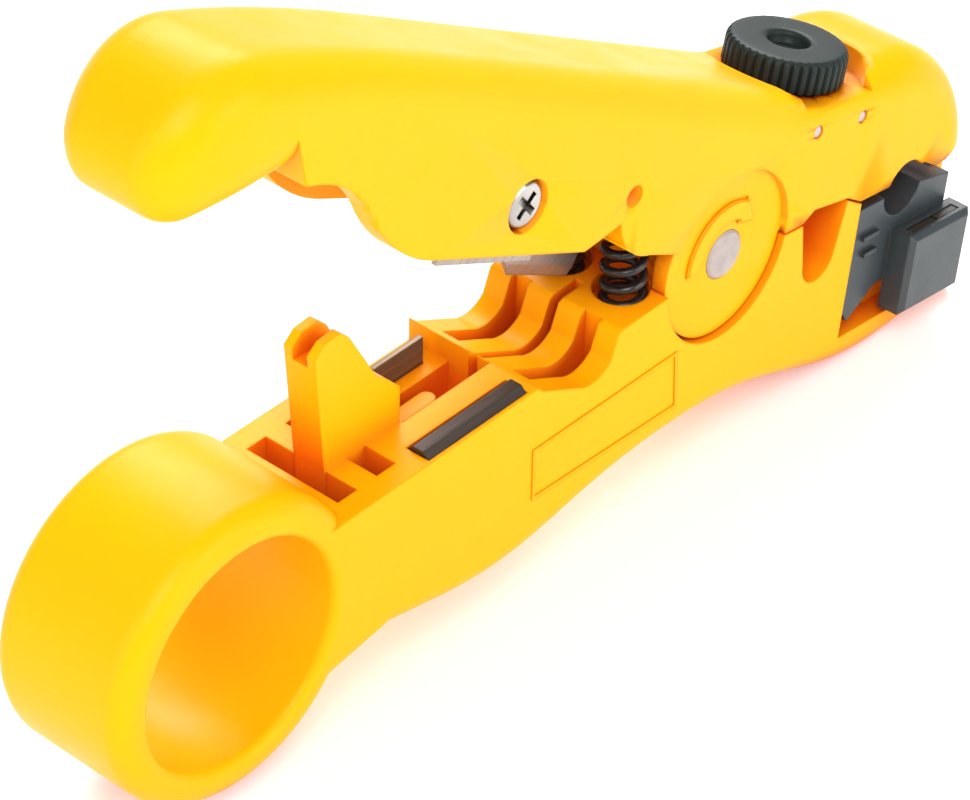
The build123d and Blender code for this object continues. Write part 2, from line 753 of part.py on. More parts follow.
# flat blade standing in the ledge
with BuildPart() as flat_blade:
    with BuildSketch(side_plane(flat_blade_y + flat_blade_thickness / 2)):
        with BuildLine():
            blade_front_x = flat_blade_x + flat_blade_length
            Polyline((flat_blade_x, flat_blade_top_z), (blade_front_x, flat_blade_top_z),
                     (blade_front_x, flat_blade_bottom_z),
                     (flat_blade_x + flat_blade_corner, flat_blade_bottom_z),
                     (flat_blade_x + flat_blade_corner, ledge_z + 0.8),
                     (flat_blade_x, flat_blade_top_z - 0.5), close=True)
        make_face()
    extrude(amount=flat_blade_thickness)
flat_blade.part.label = "flat_blade"


# bevelled steel bar let into the near side of the deck
with BuildPart() as bar:
    with BuildSketch(Plane.YZ.offset(bar_x)):
        with BuildLine():
            bar_top = deck_z + bar_proud
            bar_foot = deck_z - bar_depth
            Polyline((bar_y - bar_width / 2, bar_foot), (bar_y + bar_width / 2, bar_foot),
                     (bar_y + bar_width / 2, bar_top - bar_bevel),
                     (bar_y + bar_width / 2 - bar_bevel, bar_top),
                     (bar_y - bar_width / 2 + bar_bevel, bar_top),
                     (bar_y - bar_width / 2, bar_top - bar_bevel),
                     close=True)
        make_face()
    extrude(amount=bar_length)
bar.part.label = "anvil_bar"


# depth knob: knurled rim, recessed middle and a grooved hub
with BuildPart() as depth_knob:
    with BuildSketch(knob_plane(knob_height)):
        Circle(knob_radius)
    extrude(amount=knob_height)
    chamfer(depth_knob.edges().sort_by(Axis.Z)[-1], knob_bevel)
    with BuildSketch(knob_plane(knob_height)):
        with PolarLocations(knob_radius - knurl_depth, knurl_count, start_angle=90):
            Triangle(a=knurl_width, b=knurl_width, c=knurl_width, rotation=90,
                     align=(Align.CENTER, Align.MIN))
    extrude(amount=knob_height, mode=Mode.SUBTRACT)
    with BuildSketch(knob_plane(0)):
        Circle(knob_rim_radius)
    extrude(amount=-knob_rim_depth, mode=Mode.SUBTRACT)
    with BuildSketch(knob_plane(0)):
        Circle(knob_hole_radius)
    extrude(amount=-knob_hole_depth, mode=Mode.SUBTRACT)
    with BuildSketch(knob_plane(knob_height)):
        Circle(hub_radius)
    extrude(amount=-(hub_end_depth - knob_height))
    with BuildSketch(knob_plane(knob_floor_depth + knob_pin_depth + groove_width / 2)):
        Circle(hub_radius + cut_over)
        Circle(groove_radius, mode=Mode.SUBTRACT)
    extrude(amount=groove_width, mode=Mode.SUBTRACT)
    with BuildSketch(knob_plane(hub_end_depth)):
        Circle(screw_radius)
    extrude(amount=hub_end_depth - knob_hole_depth, mode=Mode.SUBTRACT)
depth_knob.part.label = "depth_knob"


# adjusting screw pressed into the knob
with BuildPart() as adjusting_screw:
    with BuildSketch(knob_plane(knob_hole_depth)):
        Circle(screw_radius)
    extrude(amount=-(stop_start + screw_engagement - knob_hole_depth))
adjusting_screw.part.label = "adjusting_screw"


# depth stop that the screw drives, guided in the head's square shaft
with BuildPart() as depth_stop:
    with BuildSketch(knob_plane(stop_start)):
        Rectangle(stop_width, stop_width)
    extrude(amount=-stop_length)
    with BuildSketch(knob_plane(stop_start + stop_length)):
        Circle(stop_tip_radius)
    extrude(amount=-stop_tip_length)
    with BuildSketch(knob_plane(stop_start)):
        Circle(screw_radius + running_fit)
    extrude(amount=-(screw_engagement + stop_travel + seat_gap), mode=Mode.SUBTRACT)
depth_stop.part.label = "depth_stop"


# two pins that ride in the hub's groove
pin_nodes = []
for pin_name, pin_side in (("knob_pin_rear", -1), ("knob_pin_front", 1)):
    with BuildPart() as small_pin:
        with BuildSketch(side_plane(half_width - knob_pin_inset)):
            with Locations(knob_xz(pin_side * knob_pin_offset, knob_floor_depth + knob_pin_depth)):
                Circle(knob_pin_radius)
        extrude(amount=body_width - 2 * knob_pin_inset)
    small_pin.part.label = pin_name
    pin_nodes.append(small_pin.part)


# stripping blade in the upper jaw
with BuildPart() as stripping_blade:
    with BuildSketch(side_plane(strip_knife_thickness / 2)):
        with Locations((cable_x, (strip_knife_top_z + strip_knife_edge_z) / 2)):
            Rectangle(strip_knife_length, strip_knife_top_z - strip_knife_edge_z)
    extrude(amount=strip_knife_thickness)
stripping_blade.part.label = "stripping_blade"


# cassette: cable bed in the nose with a grip standing proud of the near side
with BuildPart() as cassette:
    cassette_near_y = -half_width + cassette_near_inset
    plate_back_y = -half_width + nose_recess_depth - slide_gap
    rear = slot_rear + slide_gap
    front = slot_front - slide_gap
    with BuildSketch(nose_plane(half_width)):
        with BuildLine():
            Polyline((rear, cassette_top_rear), (rear, slot_floor + slide_gap),
                     (front, slot_floor + slide_gap),
                     (front, cassette_top_front - cassette_front_drop),
                     (cable_bore_radius, cassette_top_front),
                     (0, cassette_top_rear), close=True)
        make_face()
        Circle(cable_bore_radius, mode=Mode.SUBTRACT)
    extrude(amount=half_width - plate_back_y)
    with BuildSketch(nose_plane(plate_back_y)):
        with BuildLine():
            Polyline((rear, cassette_top_rear), (rear, plate_foot_rear), plate_toe, plate_arch,
                     (front, plate_arch[1]), (front, cassette_top_front - cassette_front_drop),
                     (cable_bore_radius, cassette_top_front), (0, cassette_top_rear), close=True)
        make_face()
        Circle(cable_bore_radius, mode=Mode.SUBTRACT)
    extrude(amount=plate_back_y - cassette_near_y)

    # grip with a shallow pocket in its top
    grip_back_y = -half_width - grip_proud
    with BuildSketch(nose_plane(cassette_near_y)):
        with Locations((grip_start + grip_length / 2, grip_top - grip_height / 2)):
            Rectangle(grip_length, grip_height)
    extrude(amount=cassette_near_y - grip_back_y)
    grip_edges = cassette.edges().filter_by(lambda e: e.center().Y < grip_back_y + tiny)
    chamfer(grip_edges, grip_round)
    with BuildSketch(nose_plane(cassette_near_y - grip_pocket_inset)):
        with Locations((grip_start + grip_length / 2, grip_top - grip_pocket_depth / 2)):
            Rectangle(grip_length - 2 * grip_pocket_inset, grip_pocket_depth)
    extrude(amount=cassette_near_y - grip_back_y - 2 * grip_pocket_inset, mode=Mode.SUBTRACT)
    for step in (0, 1):
        with BuildSketch(nose_plane(cassette_near_y)):
            with Locations((detent_start + (detent_length + step * detent_proud) / 2,
                            detent_top - detent_height / 2 - step * detent_pitch)):
                Rectangle(detent_length - step * detent_proud, detent_height)
        extrude(amount=detent_proud)
cassette.part.label = "cassette"


for node in (lower_body.part, upper_lever.part, hinge_pin.part, *spring_nodes, cutting_blade.part,
             blade_screw.part, blade_nut.part, strip_blade.part, flat_blade.part, bar.part, depth_knob.part,
             adjusting_screw.part, depth_stop.part, *pin_nodes, stripping_blade.part, cassette.part):
    export_step(node, f"parts/{node.label}.step")
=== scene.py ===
"""Dresses a sprung cable stripper: yellow moulded shells, coil springs, blades, knob and cassette.

Every length is in metres and every place is in the CAD model's frame: the origin is the centre of
the finger ring's bore, +X runs to the jaws, +Y to the far side and +Z up. The near side is at -Y.
"""

from __future__ import annotations

import logging
import math
from dataclasses import dataclass
from enum import Enum
from typing import Callable

import bmesh
import bpy
from mathutils import Matrix
from mathutils import Vector


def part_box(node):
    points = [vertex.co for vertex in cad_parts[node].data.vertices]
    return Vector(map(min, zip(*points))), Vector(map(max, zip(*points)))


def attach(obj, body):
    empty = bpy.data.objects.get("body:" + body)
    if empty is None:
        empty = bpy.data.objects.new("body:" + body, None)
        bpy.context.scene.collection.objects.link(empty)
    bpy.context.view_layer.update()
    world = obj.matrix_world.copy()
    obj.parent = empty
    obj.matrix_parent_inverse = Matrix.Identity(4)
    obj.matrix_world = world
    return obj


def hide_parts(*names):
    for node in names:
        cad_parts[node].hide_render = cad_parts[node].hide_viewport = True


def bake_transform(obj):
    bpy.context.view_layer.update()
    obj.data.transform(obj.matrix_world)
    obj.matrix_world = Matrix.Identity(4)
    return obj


LOG = logging.getLogger("cable_stripper")
MM = 0.001

# how deep the back of a raised mark lies in the surface under it
SUNK = 0.02 * MM

# a colour, a place, or a factor for each axis
Triple = tuple[float, float, float]
Socket = bpy.types.NodeSocket

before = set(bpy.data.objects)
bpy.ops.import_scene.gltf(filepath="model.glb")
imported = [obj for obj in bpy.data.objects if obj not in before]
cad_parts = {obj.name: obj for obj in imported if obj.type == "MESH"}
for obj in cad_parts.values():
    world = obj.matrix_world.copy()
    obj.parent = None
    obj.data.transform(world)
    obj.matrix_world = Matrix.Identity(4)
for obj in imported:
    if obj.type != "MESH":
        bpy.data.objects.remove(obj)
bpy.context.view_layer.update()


class Side(Enum):
    """Which side of the tool a detail is on."""

    NEAR = -1
    FAR = 1


class Cut(Enum):
    """How a steel surface was finished, and how close its marks lie along X, Y and Z per metre."""

    GROUND = (60.0, 900.0, 2600.0)
    PLATED = (220.0, 220.0, 220.0)
    BLACKENED = (120.0, 2400.0, 2400.0)
    TURNED = (300.0, 300.0, 300.0)


class Graph:
    """A material's node tree with short calls for adding and joining nodes.

    A mix node has several sockets of one name, so its colour sockets are found by their places.
    """

    mix_share = 0
    mix_first = 6
    mix_second = 7
    mix_result = 2
    # samples and occlusion range of the painted shade in pockets, grooves and crevices
    shade_samples = 6
    shade_range = (0.15, 0.8)
    edge_samples = 4

    def __init__(self, name: str) -> None:
        """Start an empty material.

        Args:
            name: The material's name.
        """
        self.material = bpy.data.materials.new(name)
        self.material.use_nodes = True
        self.tree = self.material.node_tree
        self.tree.nodes.clear()
        self.output = self.tree.nodes.new("ShaderNodeOutputMaterial")
        self.shader = self.tree.nodes.new("ShaderNodeBsdfPrincipled")
        self.link(self.shader.outputs["BSDF"], self.output.inputs["Surface"])
        self.place = self.node("ShaderNodeTexCoord").outputs["Object"]

    def node(self, kind: str, **settings: object) -> bpy.types.Node:
        """Add a node.

        Args:
            kind: Blender's name of the node's class.
            settings: Properties to set on it.

        Returns:
            The new node.
        """
        made = self.tree.nodes.new(kind)
        for key, value in settings.items():
            setattr(made, key, value)
        return made

    def link(self, source: Socket, target: Socket) -> None:
        """Join two sockets."""
        self.tree.links.new(source, target)

    def stretched(self, scale: Triple, turn: float = 0.0) -> Socket:
        """Give object coordinates stretched along the axes.

        Args:
            scale: Factor along X, Y and Z.
            turn: Turn about Y in radians, made before the stretch.

        Returns:
            The socket of the changed coordinates.
        """
        turned = self.node("ShaderNodeMapping")
        turned.inputs["Rotation"].default_value = (0.0, turn, 0.0)
        self.link(self.place, turned.inputs["Vector"])
        mapping = self.node("ShaderNodeMapping")
        mapping.inputs["Scale"].default_value = scale
        self.link(turned.outputs["Vector"], mapping.inputs["Vector"])
        return mapping.outputs["Vector"]

    def noise(self, scale: float, detail: float = 2.0, place: Socket | None = None) -> Socket:
        """Add a noise texture.

        Args:
            scale: Features per metre.
            detail: Octaves of finer noise.
            place: Coordinates to use in place of the object's own.

        Returns:
            The socket of the noise's value.
        """
        texture = self.node("ShaderNodeTexNoise")
        texture.inputs["Scale"].default_value = scale
        texture.inputs["Detail"].default_value = detail
        self.link(place or self.place, texture.inputs["Vector"])
        return texture.outputs["Fac"]

    def ranged(self, value: Socket, low: float, high: float, start: float = 0.3,
               end: float = 0.7) -> Socket:
        """Map a value to a new range.

        Args:
            value: The socket to map.
            low: Result at start.
            high: Result at end.
            start: Value that gives low.
            end: Value that gives high.

        Returns:
            The socket of the mapped value.
        """
        node = self.node("ShaderNodeMapRange")
        node.inputs["From Min"].default_value = start
        node.inputs["From Max"].default_value = end
        node.inputs["To Min"].default_value = low
        node.inputs["To Max"].default_value = high
        self.link(value, node.inputs["Value"])
        return node.outputs["Result"]

    def mixed(self, share: Socket, first: Socket | Triple, second: Triple) -> Socket:
        """Mix two colours by a value.

        Args:
            share: Socket that gives the second colour's share.
            first: Colour at share 0, or the socket that gives it.
            second: Colour at share 1.

        Returns:
            The socket of the mixed colour.
        """
        node = self.node("ShaderNodeMix", data_type="RGBA")
        self.link(share, node.inputs[self.mix_share])
        if isinstance(first, tuple):
            node.inputs[self.mix_first].default_value = (*first, 1.0)
        else:
            self.link(first, node.inputs[self.mix_first])
        node.inputs[self.mix_second].default_value = (*second, 1.0)
        return node.outputs[self.mix_result]

    def painted_shade_share(self, reach: float) -> Socket:
        """Give how much painted shade darkens a point, from how closely pockets and grooves close it in.

        Args:
            reach: Distance in metres at which another surface still counts.

        Returns:
            A socket that is 0 in the open and 1 deep inside, where the painted shade is darkest.
        """
        node = self.node("ShaderNodeAmbientOcclusion", samples=self.shade_samples)
        node.inputs["Distance"].default_value = reach
        return self.ranged(node.outputs["AO"], 1.0, 0.0, *self.shade_range)

    def softened(self, radius: float) -> Socket:
        """Round the shading of sharp edges.

        Args:
            radius: Radius of the rounding in metres.

        Returns:
            The socket of the rounded normal.
        """
        node = self.node("ShaderNodeBevel", samples=self.edge_samples)
        node.inputs["Radius"].default_value = radius
        return node.outputs["Normal"]

    def bumped(self, height: Socket, depth: float, normal: Socket | None = None) -> Socket:
        """Turn a height into a normal.

        Args:
            height: Socket of the height, 0 to 1.
            depth: Height difference in metres between 0 and 1.
            normal: Normal to start from.

        Returns:
            The socket of the bumped normal.
        """
        node = self.node("ShaderNodeBump")
        node.inputs["Strength"].default_value = 1.0
        node.inputs["Distance"].default_value = depth
        self.link(height, node.inputs["Height"])
        if normal is not None:
            self.link(normal, node.inputs["Normal"])
        return node.outputs["Normal"]

    def set(self, **values: object) -> None:
        """Set the main shader's own sockets, named with _ for each space."""
        for key, value in values.items():
            self.shader.inputs[key.replace("_", " ")].default_value = value

    def drive(self, socket: str, source: Socket) -> None:
        """Link a source to one of the main shader's sockets."""
        self.link(source, self.shader.inputs[socket])


@dataclass(frozen=True)
class MouldedPlastic:
    """Injection-moulded plastic with a fine grain, faint flow marks and painted shade in its pockets and grooves."""

    name: str
    colour: Triple
    deep_colour: Triple
    # painted shade: the colour that pockets and grooves darken to, and how far away a wall still casts it
    pocket_shade_colour: Triple
    pocket_shade_reach: float = 0.006
    flow: float = 28.0
    flow_stretch: Triple = (0.5, 1.0, 1.0)
    roughness: float = 0.34
    smoother: float = 0.05
    rougher: float = 0.07
    cloud: float = 190.0
    wave: float = 55.0
    wave_depth: float = 0.00006
    grain: float = 2600.0
    grain_depth: float = 0.000012
    edge: float = 0.0004
    glow: float = 0.0
    glow_spread: Triple = (1.0, 0.5, 0.08)
    glow_reach: float = 0.0015
    shine: float = 0.5

    def material(self) -> bpy.types.Material:
        """Build the material.

        Returns:
            The finished material.
        """
        graph = Graph(self.name)
        flow = graph.noise(self.flow, detail=3.0, place=graph.stretched(self.flow_stretch))
        skin = graph.mixed(graph.ranged(flow, 0.0, 1.0), self.colour, self.deep_colour)
        # painted shade: the colour darkens towards the shade colour where pockets and grooves close the surface in
        inside = graph.painted_shade_share(self.pocket_shade_reach)
        graph.drive("Base Color", graph.mixed(inside, skin, self.pocket_shade_colour))
        cloud = graph.noise(self.cloud, detail=4.0)
        graph.drive("Roughness", graph.ranged(cloud, self.roughness - self.smoother,
                                              self.roughness + self.rougher))
        soft = graph.softened(self.edge)
        wavy = graph.bumped(graph.noise(self.wave, detail=1.0), self.wave_depth, soft)
        graph.drive("Normal", graph.bumped(graph.noise(self.grain), self.grain_depth, wavy))
        graph.set(Specular_IOR_Level=self.shine)
        if self.glow:
            graph.set(Subsurface_Weight=self.glow, Subsurface_Radius=self.glow_spread,
                      Subsurface_Scale=self.glow_reach)
        return graph.material


@dataclass(frozen=True)
class Steel:
    """Steel in one of the finishes that the tool has, with painted shade in its crevices."""

    name: str
    colour: Triple
    cut: Cut
    shade: float = 0.72
    roughness: float = 0.3
    smoother: float = 0.06
    rougher: float = 0.1
    turn: float = 0.0
    metal: float = 1.0
    # painted shade: the colour that crevices darken to, and how far away a wall still casts it
    crevice_shade_colour: Triple = (0.03, 0.025, 0.02)
    crevice_shade_reach: float = 0.0008
    line_depth: float = 0.000004
    edge: float = 0.0002

    def material(self) -> bpy.types.Material:
        """Build the material.

        Returns:
            The finished material.
        """
        graph = Graph(self.name)
        dark = tuple(self.shade * part for part in self.colour)
        lines = graph.noise(1.0, detail=3.0, place=graph.stretched(self.cut.value, self.turn))
        skin = graph.mixed(graph.ranged(lines, 0.0, 1.0), self.colour, dark)
        # painted shade darkens the steel in crevices, such as the screw's cross
        graph.drive("Base Color", graph.mixed(graph.painted_shade_share(self.crevice_shade_reach), skin, self.crevice_shade_colour))
        graph.drive("Roughness", graph.ranged(lines, self.roughness - self.smoother,
                                              self.roughness + self.rougher))
        graph.drive("Normal", graph.bumped(lines, self.line_depth, graph.softened(self.edge)))
        graph.set(Metallic=self.metal)
        return graph.material


@dataclass(frozen=True)
class BlackWire:
    """Oiled black spring wire."""

    name: str = "oiled_black_wire"
    colour: Triple = (0.006, 0.006, 0.006)
    film_colour: Triple = (0.014, 0.013, 0.013)
    film: float = 700.0
    roughness: tuple[float, float] = (0.24, 0.4)
    grain: float = 2600.0
    grain_depth: float = 0.000004
    shine: float = 0.4
    oil: float = 0.08
    oil_roughness: float = 0.15

    def material(self) -> bpy.types.Material:
        """Build the material.

        Returns:
            The finished material.
        """
        graph = Graph(self.name)
        film = graph.noise(self.film, detail=3.0)
        graph.drive("Base Color", graph.mixed(graph.ranged(film, 0.0, 1.0), self.colour, self.film_colour))
        graph.drive("Roughness", graph.ranged(film, *self.roughness))
        graph.drive("Normal", graph.bumped(graph.noise(self.grain), self.grain_depth))
        graph.set(Specular_IOR_Level=self.shine, Coat_Weight=self.oil, Coat_Roughness=self.oil_roughness)
        return graph.material


# the third colour of each moulding is painted shade for its pockets and grooves
YELLOW = MouldedPlastic("yellow_moulding", (0.95, 0.42, 0.001), (0.94, 0.4, 0.001), (0.74, 0.11, 0.005),
                        pocket_shade_reach=0.009, roughness=0.36, glow=0.12, shine=0.09)
KNOB_GREY = MouldedPlastic("knob_moulding", (0.018, 0.027, 0.025), (0.013, 0.02, 0.018),
                           (0.006, 0.005, 0.003), pocket_shade_reach=0.0011, roughness=0.42, grain=1900.0,
                           grain_depth=0.00001, edge=0.00008, shine=0.14)
CASSETTE_GREY = MouldedPlastic("cassette_moulding", (0.038, 0.05, 0.055), (0.03, 0.04, 0.045),
                               (0.012, 0.01, 0.009), pocket_shade_reach=0.0025, roughness=0.36, grain=1900.0,
                               grain_depth=0.00002, edge=0.0003, shine=0.42)
LIP_BROWN = MouldedPlastic("grip_top_moulding", (0.045, 0.033, 0.02), (0.033, 0.025, 0.016),
                           (0.01, 0.008, 0.006), pocket_shade_reach=0.001, roughness=0.4, grain=1900.0,
                           grain_depth=0.00002, edge=0.0002, shine=0.3)
PIN_STEEL = Steel("turned_pin_steel", (0.5, 0.44, 0.41), Cut.TURNED, roughness=0.5, metal=0.4,
                  line_depth=0.000001)
BLADE_STEEL = Steel("ground_blade_steel", (0.42, 0.36, 0.33), Cut.GROUND, roughness=0.38, turn=0.5,
                    metal=0.85, line_depth=0.000008)
FLAT_STEEL = Steel("brown_blade_steel", (0.17, 0.12, 0.07), Cut.GROUND, roughness=0.5, metal=0.6,
                   line_depth=0.000008)
SCREW_CHROME = Steel("plated_screw", (0.5, 0.475, 0.45), Cut.PLATED, roughness=0.24, line_depth=0.000006,
                     crevice_shade_reach=0.0014)
BAR_STEEL = Steel("blackened_bar", (0.05, 0.037, 0.027), Cut.BLACKENED, roughness=0.36, metal=0.4,
                  line_depth=0.00002)
SPRING_WIRE = BlackWire()


def dress(finish: MouldedPlastic | Steel, *nodes: str) -> bpy.types.Material:
    """Cover CAD nodes with one material.

    Args:
        finish: The finish that they share.
        nodes: The nodes' names.

    Returns:
        The material.
    """
    material = finish.material()
    for node in nodes:
        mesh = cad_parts[node].data
        mesh.materials.clear()
        mesh.materials.append(material)
    return material


def mesh_piece(name: str, body: str | None, material: bpy.types.Material, made: bmesh.types.BMesh) -> bpy.types.Object:
    """Turn a bmesh into a piece of the tool.

    Args:
        name: The piece's name.
        body: CAD body that it rides on, or None to leave it on no body.
        material: Its material.
        made: The mesh, which is freed.

    Returns:
        The new object.
    """
    bmesh.ops.recalc_face_normals(made, faces=made.faces)
    mesh = bpy.data.meshes.new(name)
    made.to_mesh(mesh)
    made.free()
    mesh.materials.append(material)
    piece = bpy.data.objects.new(name, mesh)
    bpy.context.scene.collection.objects.link(piece)
    if body is not None:
        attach(piece, body)
    return piece


def plate(outline: list[tuple[float, float]], back: float, front: float,
          as_strip: bool = False) -> bmesh.types.BMesh:
    """Extrude an outline in X and Z along Y.

    Args:
        outline: Corners (x, z) in order, or the outer ones and then the inner ones of a strip.
        back: Y of the face that sits on the tool.
        front: Y of the raised face.
        as_strip: True if the outline is two equal loops, outer and inner.

    Returns:
        The closed mesh.
    """
    made = bmesh.new()
    low = [made.verts.new((x, back, z)) for x, z in outline]
    high = [made.verts.new((x, front, z)) for x, z in outline]
    if not as_strip:
        made.faces.new(low)
        made.faces.new(high)
        for here in range(len(outline)):
            after = (here + 1) % len(outline)
            made.faces.new((low[here], low[after], high[after], high[here]))
        return made
    half = len(outline) // 2
    for here in range(half):
        after = (here + 1) % half
        for level in (low, high):
            made.faces.new((level[here], level[after], level[half + after], level[half + here]))
        for start in (0, half):
            made.faces.new((low[start + here], low[start + after], high[start + after], high[start + here]))
    return made


def lathe(profile: list[tuple[float, float]], centre: Vector, up: Vector, across: Vector, segments: int,
          groove: Callable[[int, float], float] | None = None) -> bmesh.types.BMesh:
    """Turn a profile round an axis into a closed mesh.

    Args:
        profile: Points (radius, height along up), from one end on the axis to the other.
        centre: Point on the axis that heights count from.
        up: The axis.
        across: Direction at a right angle to the axis, where turning starts.
        segments: Steps round the axis.
        groove: Gives how far a point is drawn in, from its place in the profile and its angle.

    Returns:
        The closed mesh.
    """
    side = up.cross(across)
    made = bmesh.new()
    rows: list[list[bmesh.types.BMVert]] = []
    for place, (radius, height) in enumerate(profile):
        base = centre + height * up
        if radius == 0.0:
            rows.append([made.verts.new(base)])
            continue
        row = []
        for step in range(segments):
            angle = 2.0 * math.pi * step / segments
            reach = radius - (groove(place, angle) if groove else 0.0)
            row.append(made.verts.new(base + reach * (math.cos(angle) * across + math.sin(angle) * side)))
        rows.append(row)
    for first, second in zip(rows, rows[1:]):
        for step in range(segments):
            after = (step + 1) % segments
            if len(first) == 1:
                corners = (first[0], second[step], second[after])
            elif len(second) == 1:
                corners = (first[step], first[after], second[0])
            else:
                corners = (first[step], first[after], second[after], second[step])
            made.faces.new(corners)
    for face in made.faces:
        face.smooth = True
    return made


@dataclass
class YellowShells:
    """The ring body and the lever, with their raised marks."""

    side_y: float = -9.0 * MM
    disc_y: float = -8.2 * MM
    hinge: tuple[float, float] = (75.0 * MM, 8.2 * MM)
    panel: tuple[tuple[float, float], ...] = ((42.9, -6.2), (42.9, 0.6), (66.7, 0.2), (67.0, -7.5))
    panel_line: float = 0.45 * MM
    panel_proud: float = 0.14 * MM
    arrow_inner: float = 4.1 * MM
    arrow_outer: float = 6.5 * MM
    arrow_proud: float = 0.42 * MM
    arrow_start: float = 178.0
    arrow_end: float = 58.0
    arrow_head: float = 34.0
    arrow_steps: int = 40
    arrow_round: float = 0.45
    arrow_round_steps: int = 3
    wing_share: float = 0.66
    end_x: float = -7.3 * MM
    crown_x: float = 26.0 * MM
    pinch_x: float = 9.0 * MM
    under_x: float = 9.0 * MM
    end_heights: tuple[float, float] = (49.0 * MM, 67.0 * MM)
    end_middle: float = 58.5 * MM
    end_slices: tuple[int, int, int] = (26, 16, 12)
    crown: float = 0.13
    crown_power: float = 2.4
    pinch: float = 0.27
    pinch_power: float = 2.5
    under: float = 0.17
    under_most: float = 8.0 * MM
    weld: float = 0.001 * MM
    sharp_angle: float = 34.0
    flat_weight: int = 100

    def dress(self, finish: MouldedPlastic) -> None:
        """Cover both shells with the yellow plastic, which their marks share."""
        self.material = dress(finish, "lower_body", "upper_lever")

    def thumb_rest(self) -> bpy.types.Object:
        """Build the lever with its end crowned and rounded as a thumb rest.

        Returns:
            The lever, which replaces the CAD one.
        """
        made = bmesh.new()
        made.from_mesh(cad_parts["upper_lever"].data)
        bmesh.ops.remove_doubles(made, verts=made.verts, dist=self.weld)
        spans = ((self.end_x, self.crown_x), (self.side_y, -self.side_y), self.end_heights)
        for way, span, slices in zip(Matrix.Identity(3), spans, self.end_slices):
            for place in self.spread(*span, slices):
                self.slice_end(made, place * way, way)
        for corner in made.verts:
            corner.co = self.crowned(corner.co)
        lever = mesh_piece("thumb_lever", "lever", self.material, made)
        lever.data.polygons.foreach_set("use_smooth", [True] * len(lever.data.polygons))
        lever.data.set_sharp_from_angle(angle=math.radians(self.sharp_angle))
        weighted = lever.modifiers.new("flat_sides", "WEIGHTED_NORMAL")
        weighted.keep_sharp = True
        weighted.weight = self.flat_weight
        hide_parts("upper_lever")
        return lever

    def slice_end(self, made: bmesh.types.BMesh, point: Vector, way: Vector) -> None:
        """Cut the faces of the lever's end along a plane, and keep both sides.

        Args:
            made: The lever's mesh.
            point: Point on the plane.
            way: The plane's normal.
        """
        faces = [face for face in made.faces if min(corner.co.x for corner in face.verts) < self.crown_x]
        edges = {edge for face in faces for edge in face.edges}
        corners = {corner for face in faces for corner in face.verts}
        bmesh.ops.bisect_plane(made, geom=[*faces, *edges, *corners], dist=self.weld, plane_co=point,
                               plane_no=way)

    @staticmethod
    def spread(low: float, high: float, count: int) -> list[float]:
        """Give even steps strictly between two values."""
        return [low + (high - low) * step / count for step in range(1, count)]

    def crowned(self, point: Vector) -> Vector:
        """Give where a point of the lever goes when its end is crowned.

        Args:
            point: The point on the square-ended lever.

        Returns:
            The moved point.
        """
        toward = min(max((self.crown_x - point.x) / (self.crown_x - self.end_x), 0.0), 1.0)
        ease = toward * toward * (3.0 - 2.0 * toward)
        across = abs(point.y) / -self.side_y
        pinch = max((self.pinch_x - point.x) / (self.pinch_x - self.end_x), 0.0)
        slim = 1.0 - self.pinch * pinch ** self.pinch_power
        above = max(point.z - self.end_middle, 0.0)
        below = max(self.end_middle - point.z, 0.0) if point.x < self.under_x else 0.0
        drop = self.crown * ease * above * across ** self.crown_power
        lower = self.under * ease * min(below, self.under_most)
        return Vector((point.x, point.y * slim, point.z - drop - lower))

    def panel_frame(self) -> bpy.types.Object:
        """Build the thin raised frame of the bare panel on the near side.

        Returns:
            The frame.
        """
        outer = [Vector((x * MM, z * MM)) for x, z in self.panel]
        centre = sum(outer, Vector((0.0, 0.0))) / len(outer)
        inner = []
        for corner in outer:
            way = centre - corner
            inner.append(corner + Vector((math.copysign(self.panel_line, way.x),
                                          math.copysign(self.panel_line, way.y))))
        loops = [tuple(point) for point in outer + inner]
        made = plate(loops, self.side_y + SUNK, self.side_y - self.panel_proud, as_strip=True)
        return mesh_piece("panel_frame", "base", self.material, made)

    def arrow(self) -> bpy.types.Object:
        """Build the curved arrow raised on the hinge disc.

        Returns:
            The arrow.
        """
        def at(radius: float, angle: float) -> tuple[float, float]:
            """Give the (x, z) of a point round the hinge."""
            turned = math.radians(angle)
            return (self.hinge[0] + radius * math.cos(turned), self.hinge[1] + radius * math.sin(turned))

        middle = (self.arrow_inner + self.arrow_outer) / 2
        wing = (self.arrow_outer - self.arrow_inner) * self.wing_share
        neck = self.arrow_end
        sweep = neck - self.arrow_start
        angles = [self.arrow_start + sweep * step / self.arrow_steps for step in range(self.arrow_steps + 1)]
        outline = [at(self.arrow_outer, angle) for angle in angles]
        outline += [at(middle + wing, neck), at(middle, neck - self.arrow_head), at(middle - wing, neck)]
        outline += [at(self.arrow_inner, angle) for angle in reversed(angles)]
        made = plate(outline, self.disc_y + SUNK, self.disc_y - self.arrow_proud)
        bmesh.ops.recalc_face_normals(made, faces=made.faces)
        upper = [edge for edge in made.edges if all(corner.co.y < self.disc_y for corner in edge.verts)]
        bmesh.ops.bevel(made, geom=upper, offset=self.arrow_proud * self.arrow_round,
                        segments=self.arrow_round_steps, affect="EDGES")
        return mesh_piece("hinge_arrow", "lever", self.material, made)


